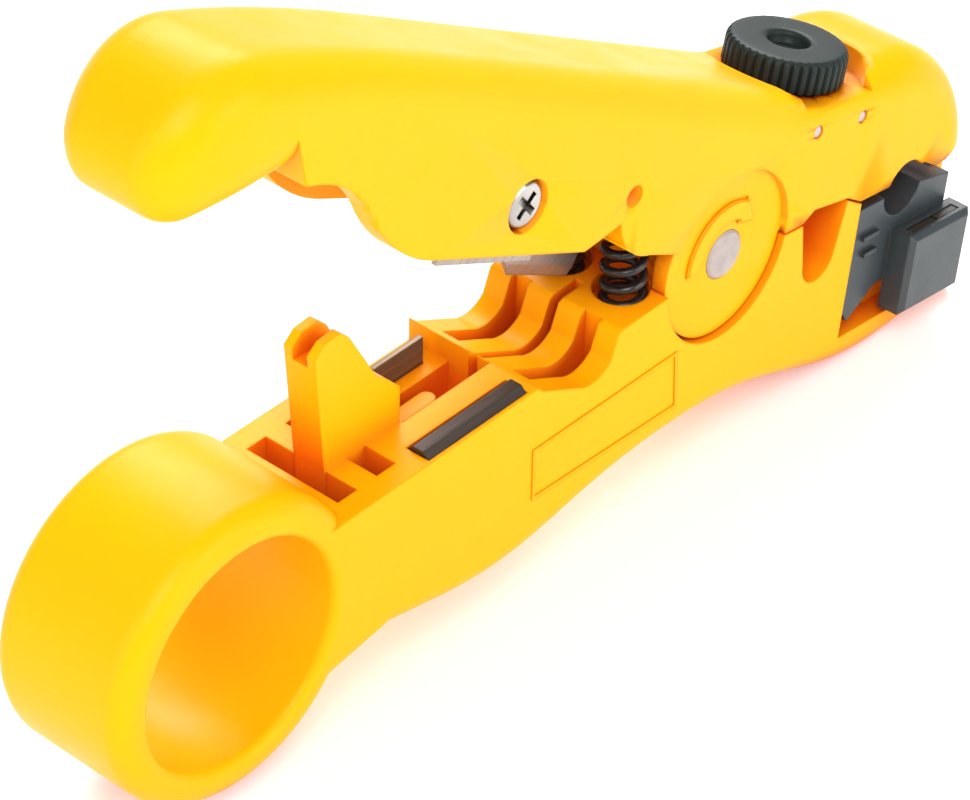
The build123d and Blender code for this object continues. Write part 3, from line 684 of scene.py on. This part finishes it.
@dataclass
class ReturnSpring:
    """One compression spring with closed, flat ends."""

    side: Side
    node: str
    turns: float = 5.7
    wire: float = 0.52 * MM
    slimmer: float = 0.4 * MM
    nearer: float = 0.35 * MM
    closed_turns: float = 0.8
    steps_per_turn: int = 34
    ring_steps: int = 12

    def height_at(self, turn: float, low: float, high: float) -> float:
        """Give the wire's height at a turn.

        Args:
            turn: Turns from the lower end.
            low: Height of the wire's middle at the lower end.
            high: Height of the wire's middle at the upper end.

        Returns:
            The height in metres.
        """
        closed_pitch = 2.0 * self.wire
        closed_rise = closed_pitch * self.closed_turns
        if turn < self.closed_turns:
            return low + closed_pitch * turn
        if turn > self.turns - self.closed_turns:
            return high - closed_pitch * (self.turns - turn)
        share = (turn - self.closed_turns) / (self.turns - 2.0 * self.closed_turns)
        return low + closed_rise + share * (high - low - 2.0 * closed_rise)

    def build(self, material: bpy.types.Material) -> bpy.types.Object:
        """Build the coil in place of its plain sleeve.

        Args:
            material: The wire's material.

        Returns:
            The coil.
        """
        lowest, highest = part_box(self.node)
        centre = (lowest + highest) / 2
        centre.y += self.nearer * self.side.value
        radius = (highest.x - lowest.x) / 2 - self.wire - self.slimmer
        low = lowest.z + self.wire
        high = highest.z - self.wire
        count = int(self.turns * self.steps_per_turn)
        path = []
        for step in range(count + 1):
            turn = self.turns * step / count
            angle = 2.0 * math.pi * turn * -self.side.value
            path.append(Vector((centre.x + radius * math.cos(angle), centre.y + radius * math.sin(angle),
                                self.height_at(turn, low, high))))
        made = bmesh.new()
        rings = []
        for step, point in enumerate(path):
            along = (path[min(step + 1, count)] - path[max(step - 1, 0)]).normalized()
            outward = Vector((point.x - centre.x, point.y - centre.y, 0.0)).normalized()
            upward = along.cross(outward).normalized()
            ring = []
            for part in range(self.ring_steps):
                angle = 2.0 * math.pi * part / self.ring_steps
                ring.append(made.verts.new(point + self.wire * (math.cos(angle) * outward
                                                                 + math.sin(angle) * upward)))
            rings.append(ring)
        for first, second in zip(rings, rings[1:]):
            for part in range(self.ring_steps):
                after = (part + 1) % self.ring_steps
                made.faces.new((first[part], first[after], second[after], second[part]))
        made.faces.new(rings[0])
        made.faces.new(rings[-1])
        for face in made.faces:
            face.smooth = len(face.verts) == 4
        coil = mesh_piece(f"coil_{self.side.name.lower()}", None, material, made)
        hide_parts(self.node)
        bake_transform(coil)
        return coil


@dataclass
class SteelParts:
    """Blades, bar, screw, nut and pins.

    A row of pin_rows gives a share of the pin's radius, and how many pin_dome below the end it lies.
    """

    ground: tuple[str, ...] = ("cutting_blade", "strip_blade", "stripping_blade")
    browned: tuple[str, ...] = ("flat_blade",)
    plated: tuple[str, ...] = ("blade_screw", "blade_nut")
    turned: tuple[str, ...] = ("hinge_pin", "adjusting_screw", "knob_pin_rear", "knob_pin_front")
    blackened: tuple[str, ...] = ("anvil_bar",)
    pin_end_y: float = 8.93 * MM
    pin_dome: float = 0.14 * MM
    pin_rows: tuple[tuple[float, float], ...] = ((0.0, 0.0), (0.5, 0.2), (0.8, 0.6), (1.0, 1.4))
    pin_steps: int = 48

    def dress(self) -> None:
        """Give every steel piece its finish."""
        dress(BLADE_STEEL, *self.ground)
        dress(FLAT_STEEL, *self.browned)
        dress(SCREW_CHROME, *self.plated)
        dress(PIN_STEEL, *self.turned)
        dress(BAR_STEEL, *self.blackened)

    def knob_pin(self, node: str) -> bpy.types.Object:
        """Build a cross pin whose domed ends lie just under the lever's sides.

        Args:
            node: The CAD pin that it replaces.

        Returns:
            The pin.
        """
        lowest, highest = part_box(node)
        middle = (lowest + highest) / 2
        middle.y = 0.0
        radius = (highest.x - lowest.x) / 2
        half = [(share * radius, self.pin_end_y - drop * self.pin_dome) for share, drop in self.pin_rows]
        profile = half + [(reach, -height) for reach, height in reversed(half)]
        made = lathe(profile, middle, Vector((0.0, 1.0, 0.0)), Vector((1.0, 0.0, 0.0)), self.pin_steps)
        pin = mesh_piece(f"domed_{node}", "lever", PIN_STEEL.material(), made)
        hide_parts(node)
        return pin


@dataclass
class GreyParts:
    """Knob, depth stop and cable cassette.

    The knob's profile has a row for each bend. A row of bore_rows gives shares of the bore's radius and
    depth. The others give how far a point lies inside the rim, how far below the top or above the foot,
    and its share of the groove's depth.
    """

    knob_top: Triple = (95.56 * MM, 0.0, 22.34 * MM)
    knob_tilt: float = 14.0
    knob_radius: float = 6.9 * MM
    knob_height: float = 3.9 * MM
    bore_radius: float = 2.35 * MM
    bore_depth: float = 1.5 * MM
    bore_rows: tuple[tuple[float, float], ...] = (
        (0.0, 1.0), (0.55, 1.0), (0.9, 1.0), (1.0, 0.92), (1.0, 0.35), (1.03, 0.2), (1.1, 0.06),
        (1.22, 0.0), (1.5, 0.0), (2.2, 0.0))
    rim_rows: tuple[Triple, ...] = (
        (0.85 * MM, 0.0, 0.0), (0.5 * MM, 0.06 * MM, 0.1), (0.25 * MM, 0.22 * MM, 0.45),
        (0.08 * MM, 0.5 * MM, 0.85), (0.0, 0.85 * MM, 1.0))
    foot_rows: tuple[Triple, ...] = (
        (0.0, 0.4 * MM, 1.0), (0.12 * MM, 0.12 * MM, 0.9), (0.4 * MM, 0.0, 0.6))
    grooves: int = 40
    groove_depth: float = 0.42 * MM
    groove_share: float = 0.46
    steps_per_groove: int = 10
    cable: Triple = (107.6 * MM, 0.0, 0.4 * MM)
    nose_lean: float = 8.0
    ledges: tuple[tuple[float, float], ...] = ((0.32 * MM, 5.3 * MM), (5.42 * MM, 9.48 * MM))
    ledge_tops: tuple[float, ...] = (-5.3 * MM, -5.2 * MM)
    pocket_floor: float = -6.28 * MM
    pocket_rear_y: float = -9.82 * MM
    pocket_front_y: float = -10.88 * MM
    ledge_round: float = 0.1 * MM
    ledge_round_steps: int = 2

    def knob(self) -> bpy.types.Object:
        """Build the knob with its soft rim, ribbed side and round bore.

        Returns:
            The knob, which replaces the CAD one.
        """
        lean = math.radians(self.knob_tilt)
        up = Vector((math.sin(lean), 0.0, math.cos(lean)))
        across = Vector((math.cos(lean), 0.0, -math.sin(lean)))
        rim = self.knob_radius
        rows = [(share * self.bore_radius, -depth * self.bore_depth, 0.0) for share, depth in self.bore_rows]
        rows += [(rim - inset, -drop, groove) for inset, drop, groove in self.rim_rows]
        rows += [(rim - inset, rise - self.knob_height, groove) for inset, rise, groove in self.foot_rows]
        rows += [(rim / 2.0, -self.knob_height, 0.0), (0.0, -self.knob_height, 0.0)]

        def cut(place: int, angle: float) -> float:
            """Give how deep the groove is at a row of the profile and an angle."""
            phase = (angle * self.grooves / (2.0 * math.pi)) % 1.0
            away = abs(phase - 0.5) / (self.groove_share / 2.0)
            dip = math.cos(away * math.pi / 2.0) if away < 1.0 else 0.0
            return self.groove_depth * rows[place][2] * dip

        segments = self.grooves * self.steps_per_groove
        profile = [row[:2] for row in rows]
        made = lathe(profile, Vector(self.knob_top), up, across, segments, cut)
        piece = mesh_piece("ribbed_knob", "knob", KNOB_GREY.material(), made)
        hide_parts("depth_knob")
        return piece

    def grip_top(self) -> bpy.types.Object:
        """Build the two brown ledges that fill the pocket in the grip's top, with a crease between.

        Returns:
            The ledges, as one piece.
        """
        lean = math.radians(self.nose_lean)
        along = Vector((math.cos(lean), 0.0, -math.sin(lean)))
        upward = Vector((math.sin(lean), 0.0, math.cos(lean)))
        made = bmesh.new()
        for (start, end), top in zip(self.ledges, self.ledge_tops):
            corners = []
            for x, z in ((start, self.pocket_floor), (end, self.pocket_floor), (end, top), (start, top)):
                corners.append(Vector(self.cable) + x * along + z * upward)
            rear = [made.verts.new(corner + Vector((0.0, self.pocket_rear_y, 0.0))) for corner in corners]
            front = [made.verts.new(corner + Vector((0.0, self.pocket_front_y, 0.0))) for corner in corners]
            made.faces.new(rear)
            made.faces.new(front)
            for here in range(4):
                after = (here + 1) % 4
                made.faces.new((rear[here], rear[after], front[after], front[here]))
        bmesh.ops.bevel(made, geom=list(made.edges), offset=self.ledge_round,
                        segments=self.ledge_round_steps, affect="EDGES")
        return mesh_piece("grip_top", "cassette", LIP_BROWN.material(), made)

    def dress(self) -> None:
        """Cover the depth stop in the knob's grey, and the cassette in its own."""
        dress(KNOB_GREY, "depth_stop")
        dress(CASSETTE_GREY, "cassette")


@dataclass
class PhotoCamera:
    """Camera that stands where the photograph was taken from."""

    place: Triple = (-0.20544, -0.21722, 0.26176)
    heading: float = 40.863
    dip: float = 38.156
    roll: float = 0.956
    focal_length: float = 148.45
    sensor_width: float = 36.0
    nearest: float = 0.01
    farthest: float = 20.0

    def build(self) -> bpy.types.Object:
        """Build the camera and make it the scene's own.

        Returns:
            The camera.
        """
        heading = math.radians(self.heading)
        dip = math.radians(self.dip)
        roll = math.radians(self.roll)
        forward = Vector((math.cos(heading) * math.cos(dip), math.sin(heading) * math.cos(dip),
                          -math.sin(dip)))
        level = Vector((math.sin(heading), -math.cos(heading), 0.0))
        upright = level.cross(forward)
        right = math.cos(roll) * level + math.sin(roll) * upright
        up = math.cos(roll) * upright - math.sin(roll) * level
        data = bpy.data.cameras.new("photo_camera")
        data.lens = self.focal_length
        data.sensor_width = self.sensor_width
        data.clip_start = self.nearest
        data.clip_end = self.farthest
        camera = bpy.data.objects.new("photo_camera", data)
        bpy.context.scene.collection.objects.link(camera)
        turned = Matrix((right, up, -forward)).transposed().to_4x4()
        camera.matrix_world = Matrix.Translation(self.place) @ turned
        bpy.context.scene.camera = camera
        return camera


@dataclass
class Studio:
    """Pale floor, pale surround and large soft lights.

    A row of lights gives a light's name, its place, its width in metres and its power in watts.
    """

    floor_z: float = -19.9 * MM
    floor_span: float = 6.0
    floor_colour: Triple = (0.9, 0.9, 0.9)
    floor_roughness: float = 0.9
    floor_shine: float = 0.1
    floor_glow: float = 0.12
    surround_light: float = 0.4
    aim: Triple = (0.05, 0.0, 0.015)
    lights: tuple[tuple[str, Triple, float, float], ...] = (
        ("key_light", (-0.45, -0.45, 0.75), 0.55, 7.5),
        ("side_light", (0.3, -0.85, 0.3), 0.6, 4.6),
        ("back_light", (0.78, 0.62, 0.75), 0.7, 17.0),
        ("left_light", (-0.95, 0.15, 0.3), 0.6, 3.4),
    )

    def floor(self) -> bpy.types.Object:
        """Lay the floor.

        Returns:
            The floor.
        """
        made = bmesh.new()
        bmesh.ops.create_grid(made, x_segments=2, y_segments=2, size=self.floor_span / 2)
        mesh = bpy.data.meshes.new("studio_floor")
        made.to_mesh(mesh)
        made.free()
        graph = Graph("pale_floor")
        graph.set(Base_Color=(*self.floor_colour, 1.0), Roughness=self.floor_roughness,
                  Specular_IOR_Level=self.floor_shine, Emission_Color=(1.0, 1.0, 1.0, 1.0),
                  Emission_Strength=self.floor_glow)
        mesh.materials.append(graph.material)
        floor = bpy.data.objects.new("studio_floor", mesh)
        bpy.context.scene.collection.objects.link(floor)
        floor.location = (0.0, 0.0, self.floor_z)
        return floor

    def surround(self) -> None:
        """Fill the world with even pale light."""
        world = bpy.data.worlds.new("pale_surround")
        bpy.context.scene.world = world
        world.use_nodes = True
        backdrop = world.node_tree.nodes["Background"]
        backdrop.inputs["Color"].default_value = (1.0, 1.0, 1.0, 1.0)
        backdrop.inputs["Strength"].default_value = self.surround_light

    def lamps(self) -> None:
        """Hang the lights and aim them at the tool."""
        for name, place, size, power in self.lights:
            data = bpy.data.lights.new(name, "AREA")
            data.shape = "SQUARE"
            data.size = size
            data.energy = power
            lamp = bpy.data.objects.new(name, data)
            bpy.context.scene.collection.objects.link(lamp)
            lamp.location = place
            way = Vector(self.aim) - Vector(place)
            lamp.rotation_mode = "QUATERNION"
            lamp.rotation_quaternion = way.to_track_quat("-Z", "Y")

    def build(self) -> None:
        """Build the whole studio and choose plain colour rendering."""
        self.floor()
        self.surround()
        self.lamps()
        bpy.context.scene.view_settings.view_transform = "Standard"


def main() -> None:
    """Build and dress the tool, then the studio round it."""
    shells = YellowShells()
    shells.dress(YELLOW)
    pieces = [shells.thumb_rest(), shells.panel_frame(), shells.arrow()]
    steel = SteelParts()
    steel.dress()
    grey = GreyParts()
    grey.dress()
    pieces += [steel.knob_pin("knob_pin_rear"), steel.knob_pin("knob_pin_front")]
    pieces += [grey.knob(), grey.grip_top()]
    wire = SPRING_WIRE.material()
    pieces += [ReturnSpring(side, f"spring_{side.name.lower()}").build(wire) for side in Side]
    for piece in pieces:
        LOG.info("%s: %d faces", piece.name, len(piece.data.polygons))
    PhotoCamera().build()
    Studio().build()


if __name__ == "__main__":
    logging.basicConfig(level=logging.INFO, format="%(message)s")
    main()
